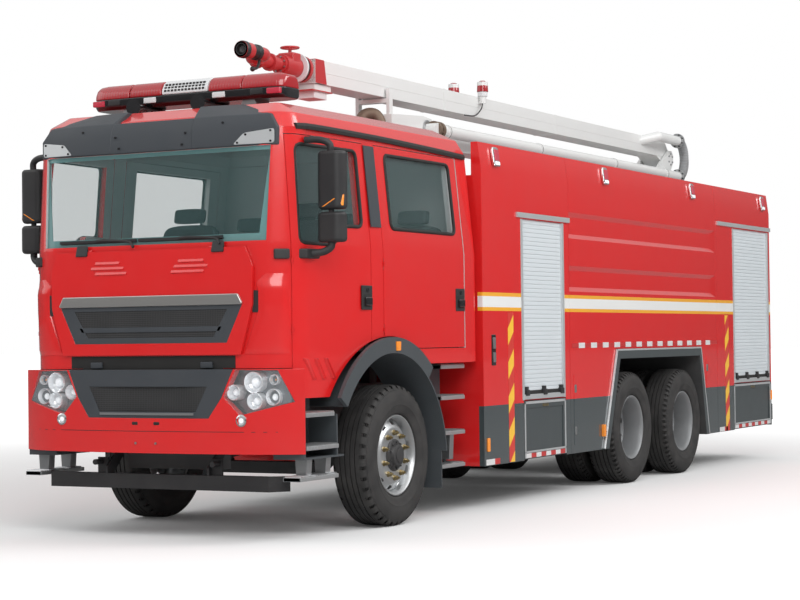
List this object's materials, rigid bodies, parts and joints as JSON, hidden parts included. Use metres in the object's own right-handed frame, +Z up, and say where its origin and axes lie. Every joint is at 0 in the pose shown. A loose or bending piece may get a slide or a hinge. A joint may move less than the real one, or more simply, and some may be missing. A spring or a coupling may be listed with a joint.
{
  "type": "water tower fire truck",
  "caption": "Fire truck with a crew cab, a shuttered body and a folding roof boom that carries a water monitor.",
  "frame": {"origin": "on the ground under the middle of the truck's length and width", "axes": "+X to the truck's left, +Y to its rear, +Z up"},
  "size_m": [2.8, 10.494, 3.7748],
  "materials": {
    "dark_trim": "matte",
    "frame_grey": "satin",
    "hose": "matte",
    "lamp": "gloss",
    "lamp_red": "gloss",
    "red_paint": "gloss",
    "rim_silver": "satin",
    "seat": "matte",
    "shutter_alu": "satin",
    "steel": "satin",
    "tyre": "matte",
    "white_paint": "gloss"
  },
  "bodies": {
    "chassis": {"rails": "frame_grey", "cross_members": "frame_grey", "engine": "frame_grey", "front_axle": "frame_grey", "rear_axles": "frame_grey", "underrun_bar": "dark_trim", "bumper": "red_paint", "headlamps": "lamp", "lower_grille": "dark_trim", "cab_floor": "red_paint", "cab_front": "red_paint", "cab_roof": "red_paint", "cab_back": "red_paint", "cab_side_left": "red_paint", "cab_side_right": "red_paint", "visor": "dark_trim", "light_bar": "lamp_red", "dashboard": "dark_trim", "seats": "seat", "wing_left": "dark_trim", "wing_right": "dark_trim", "body_front": "red_paint", "body_mid": "red_paint", "body_rear": "red_paint", "shutters": "shutter_alu", "body_lamps": "lamp_red"},
    "front_flap": {"front_flap": "red_paint", "upper_grille": "dark_trim"},
    "turntable": {"turntable": "white_paint"},
    "lower_boom": {"lower_boom": "white_paint", "elbow_hose": "hose"},
    "upper_boom": {"upper_boom": "white_paint"},
    "monitor_base": {"monitor_base": "red_paint"},
    "monitor_barrel": {"monitor_barrel": "red_paint"},
    "lift_barrel": {"lift_barrel": "steel"},
    "lift_rod": {"lift_rod": "steel"},
    "knuckle_left": {"knuckle_left": "frame_grey"},
    "wheel_front_left": {"tyre_front_left": "tyre", "rim_front_left": "rim_silver"},
    "wheel_mid_left": {"tyres_mid_left": "tyre", "rims_mid_left": "rim_silver"},
    "wheel_rear_left": {"tyres_rear_left": "tyre", "rims_rear_left": "rim_silver"},
    "door_front_left": {"door_front_left": "red_paint", "mirror_left": "dark_trim"},
    "door_rear_left": {"door_rear_left": "red_paint"},
    "step_flap_front_left": {"step_flap_front_left": "dark_trim"},
    "step_flap_rear_left": {"step_flap_rear_left": "dark_trim"},
    "knuckle_right": {"knuckle_right": "frame_grey"},
    "wheel_front_right": {"tyre_front_right": "tyre", "rim_front_right": "rim_silver"},
    "wheel_mid_right": {"tyres_mid_right": "tyre", "rims_mid_right": "rim_silver"},
    "wheel_rear_right": {"tyres_rear_right": "tyre", "rims_rear_right": "rim_silver"},
    "door_front_right": {"door_front_right": "red_paint", "mirror_right": "dark_trim"},
    "door_rear_right": {"door_rear_right": "red_paint"},
    "step_flap_front_right": {"step_flap_front_right": "dark_trim"},
    "step_flap_rear_right": {"step_flap_rear_right": "dark_trim"}
  },
  "joints": [
    {"name": "steer_left", "type": "hinge", "parent": "chassis", "child": "knuckle_left", "pos_m": [0.88, -3.662, 0.525], "axis": [0, 0, 1], "range_deg": [-38, 38]},
    {"name": "spin_front_left", "type": "hinge", "parent": "knuckle_left", "child": "wheel_front_left", "pos_m": [1.02, -3.662, 0.525], "axis": [1, 0, 0], "continuous": true},
    {"name": "spin_mid_left", "type": "hinge", "parent": "chassis", "child": "wheel_mid_left", "pos_m": [1.09, 0.938, 0.525], "axis": [1, 0, 0], "continuous": true},
    {"name": "spin_rear_left", "type": "hinge", "parent": "chassis", "child": "wheel_rear_left", "pos_m": [1.09, 2.338, 0.525], "axis": [1, 0, 0], "continuous": true},
    {"name": "door_front_left", "type": "hinge", "parent": "chassis", "child": "door_front_left", "pos_m": [1.08588, -5.036, 1.9], "axis": [0, 0, -1], "range_deg": [0, 70]},
    {"name": "door_rear_left", "type": "hinge", "parent": "chassis", "child": "door_rear_left", "pos_m": [1.2135, -3.947, 2], "axis": [0, 0, -1], "range_deg": [0, 70]},
    {"name": "step_flap_front_left", "type": "hinge", "parent": "chassis", "child": "step_flap_front_left", "pos_m": [1.234, -1.148, 0.388], "axis": [0, 1, 0], "range_deg": [0, 90]},
    {"name": "step_flap_rear_left", "type": "hinge", "parent": "chassis", "child": "step_flap_rear_left", "pos_m": [1.234, 4.521, 0.388], "axis": [0, 1, 0], "range_deg": [0, 90]},
    {"name": "steer_right", "type": "hinge", "parent": "chassis", "child": "knuckle_right", "pos_m": [-0.88, -3.662, 0.525], "axis": [0, 0, 1], "range_deg": [-38, 38]},
    {"name": "spin_front_right", "type": "hinge", "parent": "knuckle_right", "child": "wheel_front_right", "pos_m": [-1.02, -3.662, 0.525], "axis": [1, 0, 0], "continuous": true},
    {"name": "spin_mid_right", "type": "hinge", "parent": "chassis", "child": "wheel_mid_right", "pos_m": [-1.09, 0.938, 0.525], "axis": [1, 0, 0], "continuous": true},
    {"name": "spin_rear_right", "type": "hinge", "parent": "chassis", "child": "wheel_rear_right", "pos_m": [-1.09, 2.338, 0.525], "axis": [1, 0, 0], "continuous": true},
    {"name": "door_front_right", "type": "hinge", "parent": "chassis", "child": "door_front_right", "pos_m": [-1.08588, -5.036, 1.9], "axis": [0, 0, 1], "range_deg": [0, 70]},
    {"name": "door_rear_right", "type": "hinge", "parent": "chassis", "child": "door_rear_right", "pos_m": [-1.2135, -3.947, 2], "axis": [0, 0, 1], "range_deg": [0, 70]},
    {"name": "step_flap_front_right", "type": "hinge", "parent": "chassis", "child": "step_flap_front_right", "pos_m": [-1.234, -1.148, 0.388], "axis": [0, -1, 0], "range_deg": [0, 90]},
    {"name": "step_flap_rear_right", "type": "hinge", "parent": "chassis", "child": "step_flap_rear_right", "pos_m": [-1.234, 4.521, 0.388], "axis": [0, -1, 0], "range_deg": [0, 90]},
    {"name": "front_flap", "type": "hinge", "parent": "chassis", "child": "front_flap", "pos_m": [0, -5.172, 2.042], "axis": [-1, 0, 0], "range_deg": [0, 75]},
    {"name": "slew", "type": "hinge", "parent": "chassis", "child": "turntable", "pos_m": [0, -1.462, 2.86], "axis": [0, 0, 1], "range_deg": [-150, 150]},
    {"name": "luff", "type": "hinge", "parent": "turntable", "child": "lower_boom", "pos_m": [0, -1.242, 3.23], "axis": [1, 0, 0], "range_deg": [0, 80]},
    {"name": "elbow", "type": "hinge", "parent": "lower_boom", "child": "upper_boom", "pos_m": [0, 4.988, 3.425], "axis": [-1, 0, 0], "range_deg": [0, 160], "deforming": ["elbow_hose"]},
    {"name": "lift_swing", "type": "hinge", "parent": "turntable", "child": "lift_barrel", "pos_m": [0, -1.012, 2.985], "axis": [1, 0, 0], "range_deg": [0, 79.84]},
    {"name": "lift_stroke", "type": "slide", "parent": "lift_barrel", "child": "lift_rod", "axis": [0, 0.9964, 0.0843], "range_m": [0, 0.4339]},
    {"name": "monitor_swivel", "type": "hinge", "parent": "upper_boom", "child": "monitor_base", "pos_m": [0, -3.162, 3.56], "axis": [0, 1, 0], "range_deg": [-90, 90]},
    {"name": "monitor_elevation", "type": "hinge", "parent": "monitor_base", "child": "monitor_barrel", "pos_m": [0.095, -3.862, 3.56], "axis": [-1, 0, 0], "range_deg": [-45, 70]}
  ],
  "couplings": [
    {"joint": "steer_right", "follows": "steer_left", "ratio": 1},
    {"joint": "elbow", "follows": "luff", "ratio": 2},
    {"joint": "lift_swing", "follows": "luff", "ratio": 0.99181},
    {"joint": "lift_stroke", "follows": "luff", "m_per_rad": 0.30933}
  ]
}
